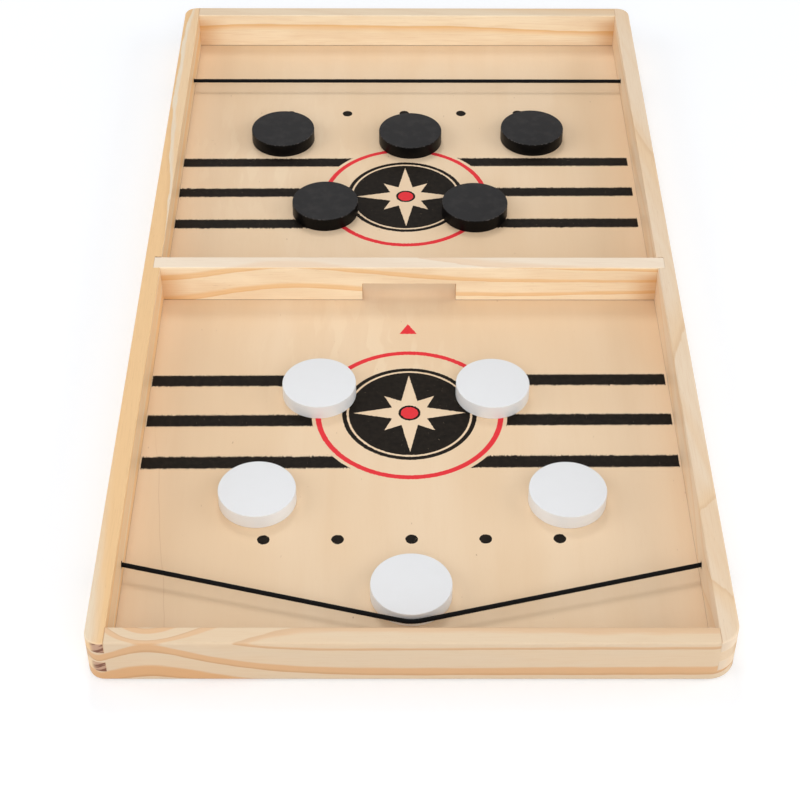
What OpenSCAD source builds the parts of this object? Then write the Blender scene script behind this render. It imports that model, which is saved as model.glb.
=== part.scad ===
// Table game box: a shallow wooden tray with a gated divider, an elastic sling cord across each
// end, and five sliding pucks a side. Millimetres, +Z up, +X to the right, +Y away from the near
// player. The origin is at the middle of the underside.

/* [Box] */
// Width of the box over its side rails
box_w = 300; // [260:1:400]
// Length of the box over its end rails
box_l = 560; // [520:1:760]
// Height of the rails
rail_h = 26; // [22:0.5:40]
// Thickness of a side rail
side_t = 9.5; // [8.5:0.1:14]
// Thickness of an end rail
end_t = 10.2; // [8.5:0.1:14]
// Radius of the upright corners of the box
corner_r = 8; // [3:0.5:12]
// Radius of the front right corner, which is sanded rounder
round_corner_r = 13; // [3:0.5:13]
// Layers of interlocking fingers in a corner
finger_layers = 4; // [4:2:8]

/* [Floor panel] */
// Thickness of the plywood floor
panel_t = 2.5; // [2:0.1:4]
// Width of the rail ledge that the floor is pinned to
ledge_w = 5; // [4:0.1:6]
// Play round the edge of the floor
panel_gap = 0.2; // [0.1:0.05:0.5]

/* [Pins] */
// Diameter of a pin
pin_d = 1.3; // [1:0.1:1.6]
// Length of a pin, head and all
pin_l = 9; // [7:0.5:12]
// Diameter of a pin's head
pin_head_d = 2.4; // [2:0.1:3]
// Thickness of a pin's head
pin_head_t = 0.8; // [0.5:0.1:1.2]
// Play round a pin in its hole
pin_gap = 0.05; // [0.02:0.01:0.1]
// Pins along each side rail
side_pins = 6; // [4:2:10]
// Pins along each end rail
end_pins = 3; // [3:1:6]
// Distance of the outermost pins from the ends of the floor
pin_margin = 30; // [20:1:40]

/* [Divider] */
// Thickness of the divider
divider_t = 10; // [8:0.1:16]
// Depth of the housing in each side rail that takes the divider's end
housing_depth = 4; // [2:0.1:5]
// Play of the divider in its housings
housing_gap = 0.1; // [0.05:0.05:0.3]
// Width of the gate
gate_w = 53.2; // [46:0.1:70]
// Height of the gate above the floor
gate_h = 11.9; // [10.5:0.1:14]

/* [Sling cords] */
// Diameter of the elastic cord
cord_d = 2.5; // [2:0.1:3.2]
// Distance of the front cord's holes from the front of the box
front_cord_inset = 63.6; // [58:0.1:90]
// Distance of the back cord's holes from the back of the box
back_cord_inset = 65.8; // [50:0.1:90]
// Height of the cord's middle above the floor, at the rails
cord_rise = 7.2; // [6:0.1:9]
// Diameter of a cord hole
cord_hole_d = 4; // [3.8:0.1:5]
// Diameter of the knot that ties off a cord
knot_d = 8; // [7:0.1:9]
// Thickness of a knot
knot_t = 5; // [4:0.1:5]
// Play round a knot in its recess
knot_gap = 1; // [0.5:0.1:1.5]
// Depth of the recess that hides a knot
knot_recess_depth = 5.5; // [5.2:0.1:6.5]

/* [Pucks] */
// Diameter of a puck
puck_d = 39.6; // [34:0.1:44]
// Thickness of a puck
puck_t = 8.35; // [7:0.05:10]
// Radius of a puck's rim
puck_edge_r = 0.4; // [0.3:0.1:1.5]

/* [Play] */
// Distance from the line of the front cord's holes to the middle of the drawn puck
draw_back = 13.2; // [8:0.1:18]
// Sideways place of the drawn puck
drawn_x = -0.2; // [-10:0.1:10]
// Height of the drawn cord's middle above the floor, at the puck
drawn_rise = 5.4; // [4:0.1:6.5]
// Gap between the drawn cord and its puck
cord_gap = 0.3; // [0.2:0.05:0.6]

/* [Hidden] */
$fn = 64;

// Roundness of a cord, and the longest step between its rings in cord diameters
cord_sides = 8;
cord_step = 3;
// Rings along the bend of the drawn cord round its puck
bend_rings = 6;
// How far cuts run past the faces that they open
over = 1;

// Colours of the materials
pine = [0.92, 0.79, 0.62];
plywood = [0.91, 0.80, 0.65];
elastic_black = [0.06, 0.06, 0.06];
steel = [0.62, 0.62, 0.60];
white_paint = [0.90, 0.90, 0.90];
black_paint = [0.14, 0.14, 0.14];

// Where the inner faces and the floor lie
inner_x = box_w / 2 - side_t;
inner_y = box_l / 2 - end_t;
floor_z = panel_t;
finger_h = rail_h / finger_layers;

// Corners of the box, turning left from the back right one: sideways, along, radius
corners = [[1, 1, corner_r], [-1, 1, corner_r], [-1, -1, corner_r], [1, -1, round_corner_r]];
function round_starts(c) = [c.x * box_w / 2, c.y * (box_l / 2 - c.z)];
function round_ends(c) = [c.x * (box_w / 2 - c.z), c.y * box_l / 2];

// The floor panel and its row of pins, in the middle of the ledge
panel_w = 2 * (inner_x + ledge_w - panel_gap);
panel_l = 2 * (inner_y + ledge_w - panel_gap);
pin_x = inner_x + ledge_w / 2;
pin_y = inner_y + ledge_w / 2;
function spread(count, length) = [for (i = [0 : count - 1]) length * (i / (count - 1) - 1 / 2)];
side_pin_row = spread(side_pins, panel_l - 2 * pin_margin);
end_pin_row = spread(end_pins, panel_w - 2 * pin_margin);

// Lines of the cord holes, their height, and the inner face of a knot's recess
front_cord_y = front_cord_inset - box_l / 2;
back_cord_y = box_l / 2 - back_cord_inset;
cord_z = floor_z + cord_rise;
knot_recess_d = knot_d + 2 * knot_gap;
knot_x = box_w / 2 - knot_recess_depth;

// Pucks as they lie: sideways place, and distance from the divider or from the side's own cord
white_by_divider = [[-48.8, 85.0], [44.5, 85.2]];
white_by_cord = [[-77.8, 50.9], [79.4, 50.7]];
black_by_cord = [[-79.2, 57.0], [1.6, 59.1], [79.0, 55.9]];
black_by_divider = [[-50.3, 79.9], [40.1, 78.6]];
drawn_puck = [drawn_x, front_cord_y - draw_back];
white_places = concat(
    [for (p = white_by_divider) [p.x, -p.y]],
    [for (p = white_by_cord) [p.x, front_cord_y + p.y]],
    [drawn_puck]
);
black_places = concat(
    [for (p = black_by_cord) [p.x, back_cord_y - p.y]],
    [for (p = black_by_divider) [p.x, p.y]]
);

// Bend of the drawn cord round its puck: a circle, and the angles where the straight runs leave it
bend_r = puck_d / 2 + cord_gap + cord_d / 2;
function tangent_angle(from, turn) =
    let (away = from - drawn_puck)
    atan2(away.y, away.x) + turn * acos(bend_r / norm(away));
bend_start = tangent_angle([-inner_x, front_cord_y], 1);
bend_end = tangent_angle([inner_x, front_cord_y], -1) + 360;
bend_points = [
    for (i = [0 : bend_rings])
    let (a = bend_start + (bend_end - bend_start) * i / bend_rings)
    [drawn_puck.x + bend_r * cos(a), drawn_puck.y + bend_r * sin(a), floor_z + drawn_rise]
];

// Routes of the cords, from the left knot to the right one
front_route = concat(
    [[-knot_x, front_cord_y, cord_z], [-inner_x, front_cord_y, cord_z]],
    bend_points,
    [[inner_x, front_cord_y, cord_z], [knot_x, front_cord_y, cord_z]]
);
back_route = [
    [-knot_x, back_cord_y, cord_z], [-inner_x, back_cord_y, cord_z],
    [inner_x, back_cord_y, cord_z], [knot_x, back_cord_y, cord_z]
];

// Points along a route, with the long runs cut into steps
function steps_of(a, b) = max(1, ceil(norm(b - a) / (cord_step * cord_d)));
function cut_up(route) = concat(
    [for (i = [0 : len(route) - 2]) for (s = [0 : steps_of(route[i], route[i + 1]) - 1])
        route[i] + (route[i + 1] - route[i]) * s / steps_of(route[i], route[i + 1])],
    [route[len(route) - 1]]
);
function unit(v) = v / norm(v);

// A solid round tube along a level route, closed at both ends
module tube(route) {
    points = cut_up(route);
    last = len(points) - 1;
    rings = [for (i = [0 : last])
        let (along = unit(points[min(i + 1, last)] - points[max(i - 1, 0)]))
        let (side = unit(cross(along, [0, 0, 1])))
        let (rise = cross(side, along))
        for (k = [0 : cord_sides - 1])
        let (a = 360 * (k + 0.5) / cord_sides)
        points[i] + cord_d / 2 * (cos(a) * side + sin(a) * rise)];
    walls = [for (i = [0 : last - 1]) for (k = [0 : cord_sides - 1])
        let (n = (k + 1) % cord_sides)
        let (here = i * cord_sides)
        let (next = here + cord_sides)
        each [[here + k, next + k, next + n], [here + k, next + n, here + n]]];
    first_cap = [for (k = [0 : cord_sides - 1]) k];
    last_cap = [for (k = [cord_sides - 1 : -1 : 0]) last * cord_sides + k];
    polyhedron(rings, concat([first_cap], walls, [last_cap]));
}

// A round disc with rounded rims, standing on its flat face
module rounded_disc(d, t, edge_r) {
    rotate_extrude() {
        square([d / 2 - edge_r, t]);
        translate([0, edge_r]) square([d / 2, t - 2 * edge_r]);
        for (y = [edge_r, t - edge_r]) translate([d / 2 - edge_r, y]) circle(edge_r);
    }
}

// The outside of the box, with rounded upright corners
module box_outline() {
    linear_extrude(rail_h) {
        polygon([for (c = corners)
            each c.x == c.y ? [round_starts(c), round_ends(c)] : [round_ends(c), round_starts(c)]]);
        for (c = corners) translate([c.x * (box_w / 2 - c.z), c.y * (box_l / 2 - c.z)]) circle(c.z);
    }
}

module rounded_off() {
    intersection() {
        children();
        box_outline();
    }
}

// The ledge's cut, which takes the floor panel
module panel_space() {
    w = panel_w + 2 * panel_gap;
    l = panel_l + 2 * panel_gap;
    translate([-w / 2, -l / 2, -over]) cube([w, l, panel_t + over]);
}

// The pins all round the floor, or their holes when play is given
module pin_set(play) {
    places = concat(
        [for (x = [-pin_x, pin_x]) for (y = side_pin_row) [x, y]],
        [for (y = [-pin_y, pin_y]) for (x = end_pin_row) [x, y]]
    );
    for (p = places) translate([p.x, p.y, 0]) {
        cylinder(h = pin_l + play, d = pin_d + 2 * play);
        cylinder(h = pin_head_t + play, d = pin_head_d + 2 * play);
    }
}

// Finger spaces that the other rail fills, at one corner; layer 0 is the lowest
module finger_spaces(x0, y0, w, l, first_layer) {
    for (i = [first_layer : 2 : finger_layers - 1])
        translate([x0, y0, i * finger_h]) cube([w, l, finger_h]);
}

// A cord's hole through the left rail, and the recess for its knot in the outer face
module cord_hole(y) {
    translate([-box_w / 2 - over, y, cord_z]) rotate([0, 90, 0]) {
        cylinder(h = side_t + 2 * over, d = cord_hole_d);
        cylinder(h = knot_recess_depth + over, d = knot_recess_d);
    }
}

// Left rail: its fingers are the upper ones of each pair
module side_rail() {
    difference() {
        translate([-box_w / 2, -box_l / 2, 0]) cube([side_t, box_l, rail_h]);
        for (y = [-box_l / 2 - over, inner_y])
            finger_spaces(-box_w / 2 - over, y, side_t + 2 * over, end_t + over, 0);
        panel_space();
        pin_set(pin_gap);
        for (y = [front_cord_y, back_cord_y]) cord_hole(y);
        translate([-inner_x - housing_depth, -divider_t / 2 - housing_gap, floor_z])
            cube([housing_depth + over, divider_t + 2 * housing_gap, rail_h]);
    }
}

// Front rail: its fingers are the lower ones of each pair
module end_rail() {
    difference() {
        translate([-box_w / 2, -box_l / 2, 0]) cube([box_w, end_t, rail_h]);
        for (x = [-box_w / 2 - over, inner_x])
            finger_spaces(x, -box_l / 2 - over, side_t + over, end_t + 2 * over, 1);
        panel_space();
        pin_set(pin_gap);
    }
}

module left_rail() {
    color(pine) rounded_off() side_rail();
}

module right_rail() {
    color(pine) rounded_off() mirror([1, 0, 0]) side_rail();
}

module front_rail() {
    color(pine) rounded_off() end_rail();
}

module back_rail() {
    color(pine) rounded_off() mirror([0, 1, 0]) end_rail();
}

module base_panel() {
    color(plywood) difference() {
        translate([-panel_w / 2, -panel_l / 2, 0]) cube([panel_w, panel_l, panel_t]);
        pin_set(pin_gap);
    }
}

module panel_pins() {
    color(steel) pin_set(0);
}

// Divider: stands on the floor, flush with the rails, with the gate cut out of its lower edge
module divider() {
    w = 2 * (inner_x + housing_depth - housing_gap);
    color(pine) difference() {
        translate([-w / 2, -divider_t / 2, floor_z]) cube([w, divider_t, rail_h - floor_z]);
        translate([-gate_w / 2, -divider_t / 2 - over, floor_z - over])
            cube([gate_w, divider_t + 2 * over, gate_h + over]);
    }
}

module front_cord() {
    color(elastic_black) tube(front_route);
}

module back_cord() {
    color(elastic_black) tube(back_route);
}

// A knot, seated on the shoulder of its recess; side is -1 for the left rail, 1 for the right
module knot(side, y) {
    color(elastic_black) translate([side * knot_x, y, cord_z]) rotate([0, side * 90, 0])
        rounded_disc(knot_d, knot_t, knot_t / 3);
}

module front_cord_left_knot() {
    knot(-1, front_cord_y);
}

module front_cord_right_knot() {
    knot(1, front_cord_y);
}

module back_cord_left_knot() {
    knot(-1, back_cord_y);
}

module back_cord_right_knot() {
    knot(1, back_cord_y);
}

module puck(place) {
    translate([place.x, place.y, floor_z]) rounded_disc(puck_d, puck_t, puck_edge_r);
}

module white_puck(number) {
    color(white_paint) puck(white_places[number - 1]);
}

module black_puck(number) {
    color(black_paint) puck(black_places[number - 1]);
}

left_rail();
right_rail();
front_rail();
back_rail();
base_panel();
panel_pins();
divider();
front_cord();
front_cord_left_knot();
front_cord_right_knot();
back_cord();
back_cord_left_knot();
back_cord_right_knot();
white_puck(1);  // white_puck_1
white_puck(2);  // white_puck_2
white_puck(3);  // white_puck_3
white_puck(4);  // white_puck_4
white_puck(5);  // white_puck_5
black_puck(1);  // black_puck_1
black_puck(2);  // black_puck_2
black_puck(3);  // black_puck_3
black_puck(4);  // black_puck_4
black_puck(5);  // black_puck_5
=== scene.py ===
import math

import bmesh
import bpy
from mathutils import Matrix, Vector


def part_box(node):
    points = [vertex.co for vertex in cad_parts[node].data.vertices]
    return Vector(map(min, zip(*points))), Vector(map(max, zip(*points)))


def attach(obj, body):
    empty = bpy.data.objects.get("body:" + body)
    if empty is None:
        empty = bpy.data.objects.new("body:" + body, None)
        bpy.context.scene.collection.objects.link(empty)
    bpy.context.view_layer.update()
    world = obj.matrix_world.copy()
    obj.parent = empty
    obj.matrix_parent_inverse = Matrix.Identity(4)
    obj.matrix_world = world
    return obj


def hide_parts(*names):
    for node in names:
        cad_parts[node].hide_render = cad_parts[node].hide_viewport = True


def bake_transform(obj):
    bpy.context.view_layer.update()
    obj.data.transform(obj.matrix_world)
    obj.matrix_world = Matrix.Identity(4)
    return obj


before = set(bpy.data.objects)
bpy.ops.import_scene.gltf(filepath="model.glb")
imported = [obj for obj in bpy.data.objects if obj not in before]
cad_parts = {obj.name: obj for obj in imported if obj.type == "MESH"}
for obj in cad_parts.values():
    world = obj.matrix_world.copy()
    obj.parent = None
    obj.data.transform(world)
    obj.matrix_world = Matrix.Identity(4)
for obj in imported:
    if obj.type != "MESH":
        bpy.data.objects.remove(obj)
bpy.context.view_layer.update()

# Lengths here are millimetres; MM turns them into the scene's metres.
MM = 0.001


def low(node):
    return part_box(node)[0] / MM


def high(node):
    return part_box(node)[1] / MM


def middle(node):
    return (low(node) + high(node)) / 2


# Places read from the frame
HALF_W = high("right_rail").x
HALF_L = high("back_rail").y
RAIL_TOP = high("left_rail").z
INNER_X = low("right_rail").x
INNER_Y = low("back_rail").y
FLOOR_TOP = high("base_panel").z
DIVIDER_FRONT = low("divider").y
PUCKS_EACH = 5
PUCKS = [f"{colour}_puck_{number + 1}" for colour in ("white", "black") for number in range(PUCKS_EACH)]
DRAWN_PUCK = "white_puck_5"


class Wire:
    """A node socket that takes part in Python expressions; each operator adds one Math node."""

    def __init__(self, bench, socket):
        self.bench = bench
        self.socket = socket

    def maths(self, operation, *values):
        return self.bench.add("ShaderNodeMath", {"operation": operation}, dict(enumerate(values)))

    def other(self, output):
        return Wire(self.bench, self.socket.node.outputs[output])

    def __add__(self, value):
        return self.maths("ADD", self, value)

    def __sub__(self, value):
        return self.maths("SUBTRACT", self, value)

    def __rsub__(self, value):
        return self.maths("SUBTRACT", value, self)

    def __mul__(self, value):
        return self.maths("MULTIPLY", self, value)

    def __truediv__(self, value):
        return self.maths("DIVIDE", self, value)

    def __mod__(self, value):
        return self.maths("FLOORED_MODULO", self, value)

    def __abs__(self):
        return self.maths("ABSOLUTE", self)

    def __lt__(self, value):
        return self.maths("LESS_THAN", self, value)

    def __gt__(self, value):
        return self.maths("GREATER_THAN", self, value)

    def __or__(self, value):
        return self.maths("MAXIMUM", self, value)

    def __and__(self, value):
        return self.maths("MINIMUM", self, value)

    __radd__ = __add__
    __rmul__ = __mul__

    def root(self):
        return self.maths("SQRT", self)

    def exp(self):
        return self.maths("EXPONENT", self)

    def floor(self):
        return self.maths("FLOOR", self)

    def sign(self):
        return self.maths("SIGN", self)

    def sine(self):
        return self.maths("SINE", self)

    def cosine(self):
        return self.maths("COSINE", self)


class Bench:
    """Adds nodes to one node tree."""

    def __init__(self, tree):
        self.tree = tree

    def add(self, kind, settings=None, sockets=None, output=0):
        """A node of that type, its settings made first, then the values or links of its sockets."""
        node = self.tree.nodes.new(kind)
        for key, value in (settings or {}).items():
            setattr(node, key, value)
        for key, value in (sockets or {}).items():
            self.feed(node.inputs[key], value)
        return Wire(self, node.outputs[output]) if node.outputs else None

    def feed(self, socket, value):
        if isinstance(value, Wire):
            self.tree.links.new(value.socket, socket)
        elif isinstance(value, list):
            for wire in value:
                self.tree.links.new(wire.socket, socket)
        else:
            socket.default_value = value

    def vector(self, x, y, z):
        return self.add("ShaderNodeCombineXYZ", {}, {"X": x, "Y": y, "Z": z})

    def scaled(self, vector, factor):
        return self.add("ShaderNodeVectorMath", {"operation": "SCALE"}, {"Vector": vector, "Scale": factor})


class Finish(Bench):
    """A material: its nodes, from the surface's place to one Principled shader."""

    MIX_FACTOR, MIX_A, MIX_B, MIX_RESULT = 0, 6, 7, 2
    BUMP_DEPTH = 0.3 * MM

    def __init__(self, name):
        self.material = bpy.data.materials.new(name)
        self.material.use_nodes = True
        self.material.node_tree.nodes.clear()
        super().__init__(self.material.node_tree)

    def parts(self, vector):
        split = self.add("ShaderNodeSeparateXYZ", {}, {"Vector": vector})
        return split, split.other("Y"), split.other("Z")

    def place(self):
        """X, Y and Z of the surface, in millimetres."""
        spot = self.add("ShaderNodeTexCoord", output="Object")
        return self.parts(self.scaled(spot, 1 / MM))

    def facing(self):
        """X, Y and Z of the surface's normal."""
        return self.parts(self.add("ShaderNodeTexCoord", output="Normal"))

    def noise(self, vector, scale=1.0, detail=2.0, roughness=0.5):
        sockets = {"Vector": vector, "Scale": scale, "Detail": detail, "Roughness": roughness}
        return self.add("ShaderNodeTexNoise", {}, sockets)

    def smooth(self, value, start, end):
        """0 before start, 1 after end, eased between them."""
        settings = {"interpolation_type": "SMOOTHSTEP"}
        return self.add("ShaderNodeMapRange", settings, {"Value": value, 1: start, 2: end})

    def mix(self, factor, first, second):
        sockets = {self.MIX_FACTOR: factor, self.MIX_A: first, self.MIX_B: second}
        return self.add("ShaderNodeMix", {"data_type": "RGBA"}, sockets, self.MIX_RESULT)

    def surface(self, colour, roughness, height=None, bump=0.0, **constants):
        """The finished material; constants are shader sockets that are the same all over."""
        sockets = {key.replace("_", " "): value for key, value in constants.items()}
        sockets.update({"Base Color": colour, "Roughness": roughness})
        if height is not None:
            relief = {"Strength": bump, "Distance": self.BUMP_DEPTH, "Height": height}
            sockets["Normal"] = self.add("ShaderNodeBump", {}, relief)
        shader = self.add("ShaderNodeBsdfPrincipled", {}, sockets)
        self.add("ShaderNodeOutputMaterial", {}, {"Surface": shader})
        return self.material


class Workshop(Bench):
    """A Geometry Nodes tree with named inputs, whose result is kept as a plain mesh."""

    def __init__(self, name, inputs):
        tree = bpy.data.node_groups.new(name, "GeometryNodeTree")
        super().__init__(tree)
        face = tree.interface
        face.new_socket("Geometry", in_out="INPUT", socket_type="NodeSocketGeometry")
        face.new_socket("Geometry", in_out="OUTPUT", socket_type="NodeSocketGeometry")
        self.identifiers = {
            key: face.new_socket(key, in_out="INPUT", socket_type=kind).identifier
            for key, kind in {**inputs, "Material": "NodeSocketMaterial"}.items()
        }
        source = tree.nodes.new("NodeGroupInput")
        self.given = {socket.name: Wire(self, socket) for socket in source.outputs if socket.name}

    def deliver(self, shape):
        whole = self.add("GeometryNodeRealizeInstances", {}, {"Geometry": shape})
        sockets = {"Geometry": whole, "Material": self.given["Material"]}
        dressed = self.add("GeometryNodeSetMaterial", {}, sockets)
        self.add("NodeGroupOutput", {}, {"Geometry": dressed})

    def make(self, name, start, material, **values):
        """A new object with the tree's result as its mesh; values are the tree's inputs."""
        piece = new_piece(name, start)
        modifier = piece.modifiers.new(name, "NODES")
        modifier.node_group = self.tree
        for key, value in {**values, "Material": material}.items():
            modifier[self.identifiers[key]] = value
        keep_result(piece)
        return piece


def new_piece(name, mesh):
    piece = bpy.data.objects.new(name, mesh)
    bpy.context.scene.collection.objects.link(piece)
    return piece


def keep_result(piece):
    """Turns what the modifiers make into the piece's own plain mesh."""
    depsgraph = bpy.context.evaluated_depsgraph_get()
    result = piece.evaluated_get(depsgraph)
    mesh = bpy.data.meshes.new_from_object(result, preserve_all_data_layers=True, depsgraph=depsgraph)
    piece.modifiers.clear()
    piece.data = mesh


def line_mesh(name, points):
    """A mesh of edges that runs through points given in millimetres."""
    mesh = bpy.data.meshes.new(name)
    steps = [(i, i + 1) for i in range(len(points) - 1)]
    mesh.from_pydata([Vector(p) * MM for p in points], steps, [])
    return mesh


# The curve that screens use
SCREEN_FULL = 255
SCREEN_KNEE = 0.04045
SCREEN_SLOPE = 12.92
SCREEN_OFFSET = 0.055
SCREEN_POWER = 2.4


def shade(red, green, blue):
    """A screen colour, 0 to 255, as a linear shader colour."""
    def linear(level):
        share = level / SCREEN_FULL
        if share <= SCREEN_KNEE:
            return share / SCREEN_SLOPE
        return ((share + SCREEN_OFFSET) / (1 + SCREEN_OFFSET)) ** SCREEN_POWER
    return (linear(red), linear(green), linear(blue), 1.0)


# The level that a noise has on average, and how finely it is broken up
NOISE_MEAN = 0.5
PLAIN = 1.0
FINE = 3.0
FINER = 4.0


# Pine

# Waver of the growth rings: its size, and its wavelengths along and across the grain
WAVER = 2.0
WAVER_LENGTH = 95.0
WAVER_WIDTH = 16.0
RIPPLE = 1.1
RIPPLE_LENGTH = 18.0
RIPPLE_WIDTH = 2.2
# Shares of a year: how much earlier the softest late wood begins, the quickest rise of the late wood and its
# sharp end, the dark line before that end, and the thread where the late wood of a hard ring begins
LATE_EARLIER = 0.5
LATE_RISE = 0.05
LATE_ENDS = 0.975
LINE_BEGINS = 0.88
THREAD_W = 0.035
HARD_BELOW = 0.4
# Strength of the late wood in the hardest ring, and how much the softest adds
HARD_STRENGTH = 0.6
SOFT_ADDS = 0.4
# How much a swell of the rings narrows with each millimetre below the top, unless a piece has its own
NARROWING = 0.25
# Fibres, flecks and clouds: lengths, widths, the noise levels they start and are full at, and shares
FIBRE_LENGTH = 16.0
FIBRE_WIDTH = 0.55
FIBRE_LEVELS = (0.45, 0.75)
FIBRE_SHARE = 0.22
FLECK_LENGTH = 4.5
FLECK_WIDTH = 0.32
FLECK_LEVELS = (0.72, 0.80)
FLECK_SHARE = 0.25
CLOUD_LENGTH = 60.0
CLOUD_WIDTH = 13.0
CLOUD_LEVELS = (0.40, 0.65)
# How square to the grain a face is where its end grain starts and is full; the same for a level top
SQUARE = (0.70, 0.95)
# Slanting streaks of the end grain: their width, their run, their rise across the piece and their levels
STREAK_W = 2.0
STREAK_RUN = 14.0
STREAK_RISE = 0.6
STREAK_LEVELS = (0.46, 0.56)
# Painted shade in the corners of the box: how far it reaches along and below the top
CORNER_SHADE_REACH = 20.0
CORNER_SHADE_DEPTH = 9.0
# How far an eased edge leans up where its painted highlight starts and is full, and where it fades and ends
EDGE_HIGHLIGHT_STARTS = (0.25, 0.60)
EDGE_HIGHLIGHT_ENDS = (0.80, 0.97)
# Painted shade along the floor, in the crease where the rails and the divider meet it
GAP_SHADE_W = 0.8
GAP_SHADE_SHARE = 0.85
# Matt lacquer: its roughness, what the fibres add, what the late wood takes off, and its relief
LACQUER = 0.48
LACQUER_FIBRE = 0.12
LACQUER_LATE = -0.06
LINE_DEPTH = 0.3
PINE_BUMP = 0.10
PINE_SPECULAR = 0.25

PALE_PINE = {"early": shade(222, 198, 168), "late": shade(218, 168, 119), "line": shade(172, 124, 84)}
HONEY_PINE = {"early": shade(252, 234, 204), "late": shade(241, 196, 136), "line": shade(214, 160, 98)}
GOLD_PINE = {"early": shade(233, 217, 193), "late": shade(237, 195, 141), "line": shade(180, 122, 68)}
WHITE_PINE = {"early": shade(233, 211, 184), "late": shade(231, 200, 162), "line": shade(190, 144, 100)}
# End grain: the wood between the rings, and the rings
END_GRAIN = (shade(205, 168, 128), shade(222, 186, 146))
DARK_END_GRAIN = (shade(126, 82, 62), shade(192, 152, 126))
PALE_END_GRAIN = (shade(222, 200, 174), shade(214, 187, 156))
FIBRE_TONE = shade(212, 172, 128)
FLECK_TONE = shade(158, 112, 76)
CLOUD_TONE = shade(228, 195, 156)
GAP_SHADE_TONE = shade(112, 76, 48)
EDGE_HIGHLIGHT_TONE = shade(255, 234, 200)
CORNER_SHADE_TONE = shade(204, 140, 64)
# Tones painted on the level tops for the light that falls on them from above
DULL_TOP_LIGHT = shade(206, 182, 156)
BRIGHT_TOP_LIGHT = shade(250, 228, 196)
PALE_TOP_LIGHT = shade(234, 218, 204)


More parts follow.
